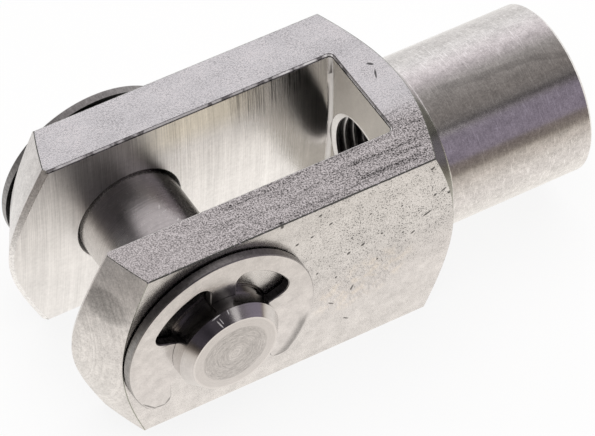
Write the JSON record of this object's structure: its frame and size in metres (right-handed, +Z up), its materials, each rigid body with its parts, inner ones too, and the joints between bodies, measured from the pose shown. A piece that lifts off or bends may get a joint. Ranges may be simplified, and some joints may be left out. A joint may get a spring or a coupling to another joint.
{
  "type": "clevis rod end",
  "caption": "Steel fork clevis with a square slotted body, a threaded round shank and a cross pin held by stamped retaining clips.",
  "frame": {"origin": "where the pin axis crosses the fork axis, midway between the ears", "axes": "+X along the fork towards the threaded shank, Y along the pin, +Z up, square to both"},
  "size_m": [0.0839, 0.0436, 0.032],
  "materials": {
    "fork_steel": "machined bright steel with fine tool marks and light speckle",
    "pin_steel": "smooth turned steel",
    "clip_steel": "bright satin stamped spring steel with darker sheared edges"
  },
  "bodies": {
    "fork": {"fork": "fork_steel"},
    "near_clip": {"near_clip": "clip_steel"},
    "pin": {"clevis_pin": "pin_steel"},
    "far_clip": {"far_clip": "clip_steel"}
  },
  "joints": [
    {"name": "pin_end_play", "type": "slide", "parent": "fork", "child": "near_clip", "axis": [0, 1, 0], "range_m": [-0.0014, 0.0002]},
    {"name": "pin_turn", "type": "hinge", "parent": "near_clip", "child": "pin", "pos_m": [0, 0, 0], "axis": [0, 1, 0], "continuous": true},
    {"name": "far_clip_turn", "type": "hinge", "parent": "pin", "child": "far_clip", "pos_m": [0, 0, 0], "axis": [0, 1, 0], "continuous": true}
  ]
}
